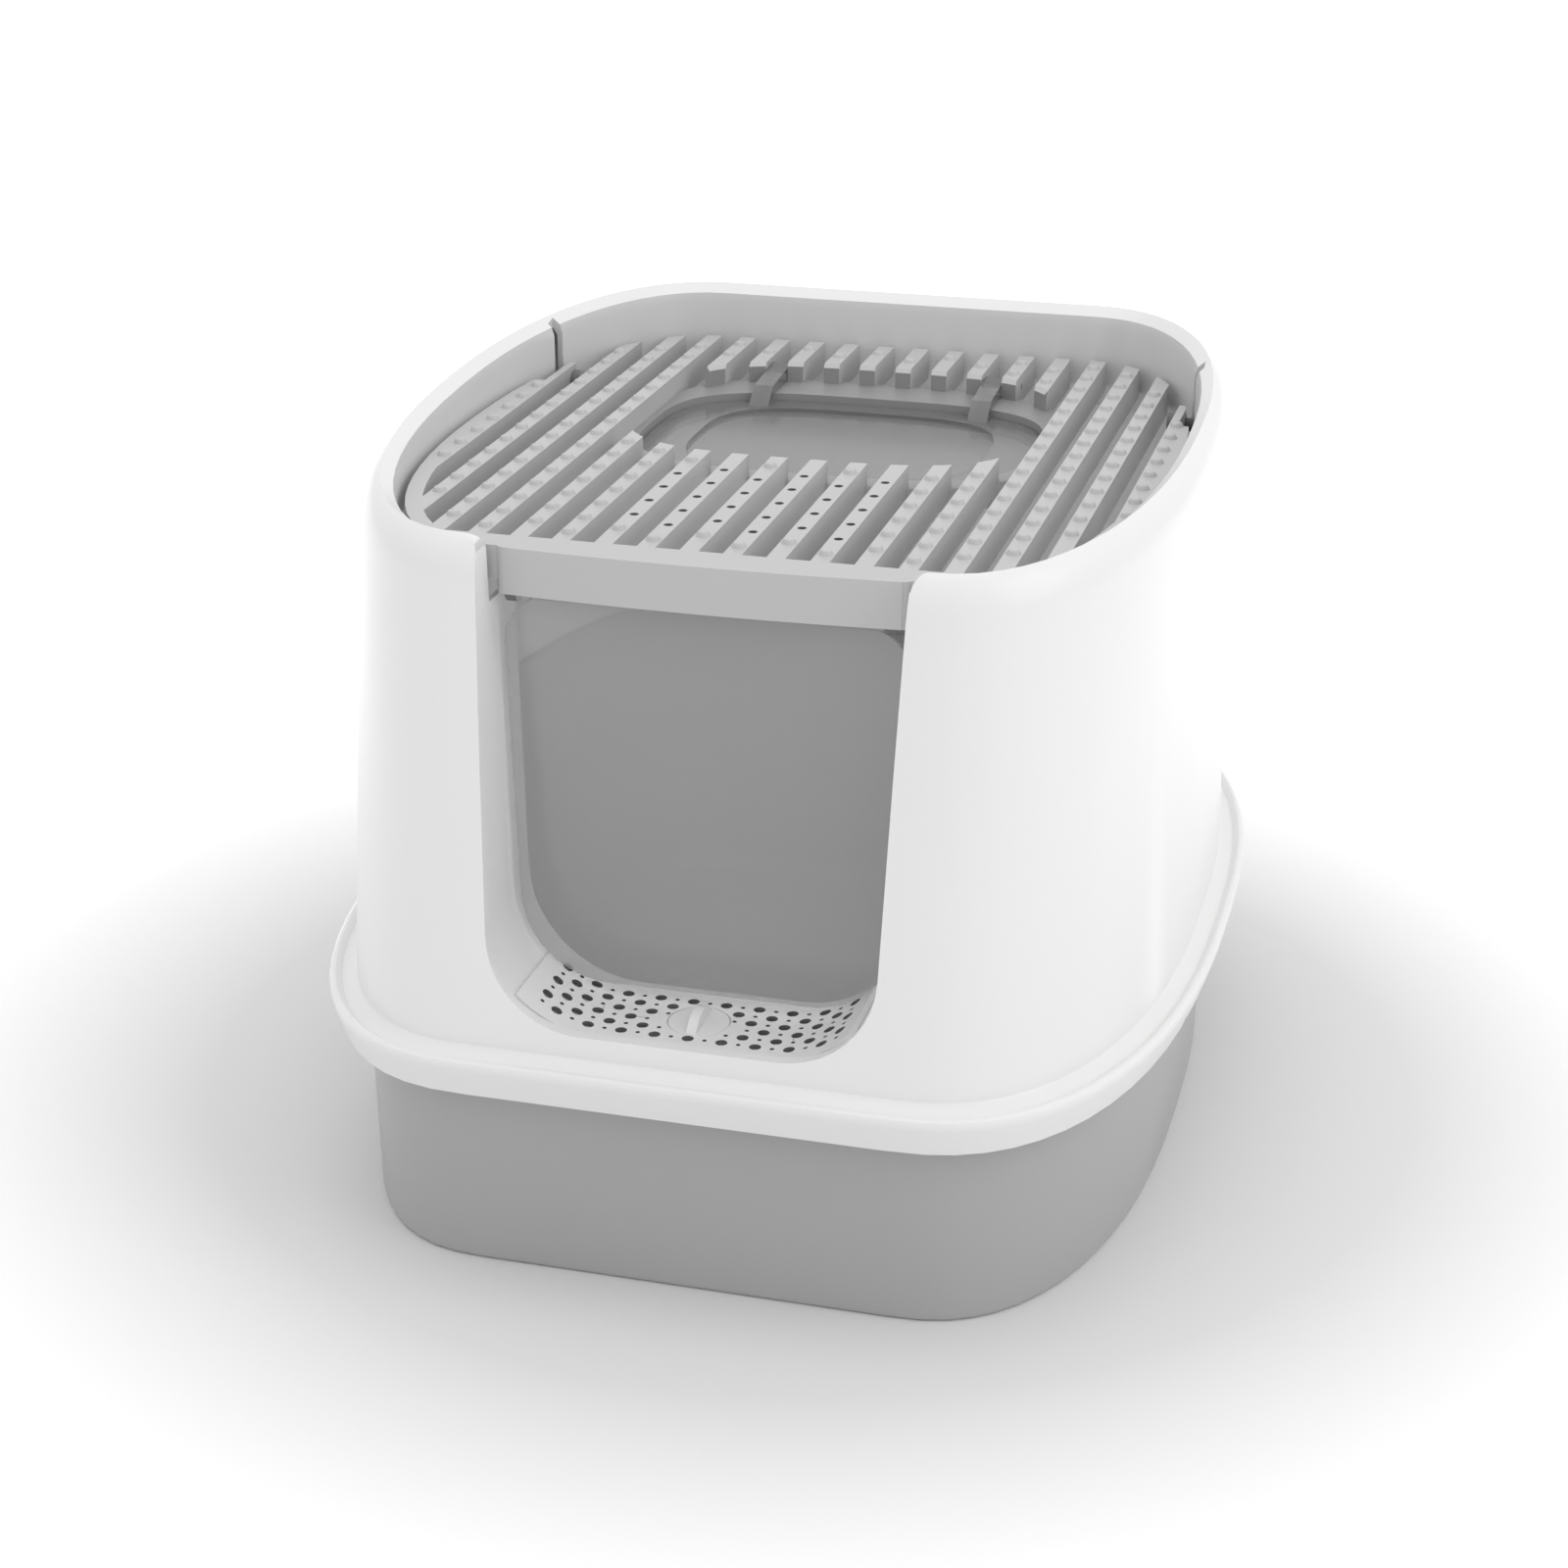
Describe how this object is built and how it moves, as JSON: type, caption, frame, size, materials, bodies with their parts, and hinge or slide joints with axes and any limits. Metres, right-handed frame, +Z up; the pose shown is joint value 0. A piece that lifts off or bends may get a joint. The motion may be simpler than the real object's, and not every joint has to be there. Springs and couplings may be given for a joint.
{
  "type": "litter box",
  "caption": "Enclosed litter box: tray, hood with a front swing door and a perforated step, and a slatted top deck that tilts and has an oval flap.",
  "frame": {"origin": "centre of the tray's underside, on the floor", "axes": "+X to the right seen from the front, +Y to the back, +Z up"},
  "size_m": [0.4122, 0.4852, 0.3504],
  "materials": {
    "tray_plastic": "fine satin, mid grey",
    "hood_plastic": "satin white",
    "deck_plastic": "satin light grey",
    "smoked_plastic": "smoked, see-through",
    "pin_plastic": "dark grey moulded",
    "screw_steel": "zinc-plated"
  },
  "bodies": {
    "base": {"tray": "tray_plastic", "scatter_guard": "tray_plastic"},
    "hood": {"hood": "hood_plastic", "step": "hood_plastic"},
    "knob": {"step_knob": "hood_plastic", "knob_cam": "pin_plastic", "cam_screw": "screw_steel"},
    "deck": {"deck": "deck_plastic", "pivot_pins": "pin_plastic", "flap_pins": "pin_plastic", "door_pins": "pin_plastic"},
    "flap": {"oval_flap": "smoked_plastic"},
    "door": {"swing_door": "smoked_plastic"}
  },
  "joints": [
    {"name": "hood_lift", "type": "slide", "parent": "base", "child": "hood", "axis": [0, 0, 1], "range_m": [0, 0.12]},
    {"name": "knob_turn", "type": "hinge", "parent": "hood", "child": "knob", "pos_m": [0, -0.195, 0.118], "axis": [0, 0, 1], "range_deg": [0, 90]},
    {"name": "deck_tilt", "type": "hinge", "parent": "hood", "child": "deck", "pos_m": [0, 0.106, 0.316], "axis": [-1, 0, 0], "range_deg": [0, 50]},
    {"name": "flap_swing", "type": "hinge", "parent": "deck", "child": "flap", "pos_m": [0, 0.15, 0.3174], "axis": [-1, 0, 0], "range_deg": [0, 80]},
    {"name": "door_swing", "type": "hinge", "parent": "deck", "child": "door", "pos_m": [0, -0.1805, 0.303], "axis": [1, 0, 0], "range_deg": [-75, 80]}
  ]
}
